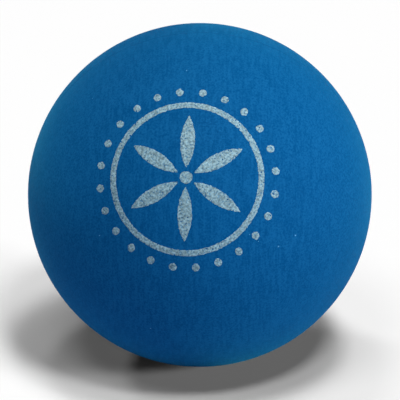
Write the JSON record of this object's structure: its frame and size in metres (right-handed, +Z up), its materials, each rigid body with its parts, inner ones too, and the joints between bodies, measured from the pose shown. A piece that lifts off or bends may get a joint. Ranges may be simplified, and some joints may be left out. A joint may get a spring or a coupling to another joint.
{
  "type": "racquetball",
  "caption": "Hollow rubber court ball made of cemented half shells, with a matte ground skin and a plain silver rosette printed on the front.",
  "frame": {"origin": "centre of the ball", "axes": "+Z up as the ball was set down; the seam between the half shells lies in the XZ plane, so +Y is the ball's axis of symmetry, towards the rear shell; the print faces -Y, tilted up and turned a little towards -X"},
  "size_m": [0.0572, 0.0572, 0.0572],
  "materials": {
    "blue_rubber": "matte ground rubber",
    "cured_cement": "cured rubber cement, dull",
    "silver_ink": "thin silver-grey screen-print ink, dull and speckled",
    "spent_tablet": "dry chalky residue"
  },
  "bodies": {
    "root": {"front_half_shell": "blue_rubber", "rear_half_shell": "blue_rubber", "seam_cement": "cured_cement", "printed_mark": "silver_ink", "gas_tablet": "spent_tablet"}
  },
  "joints": []
}
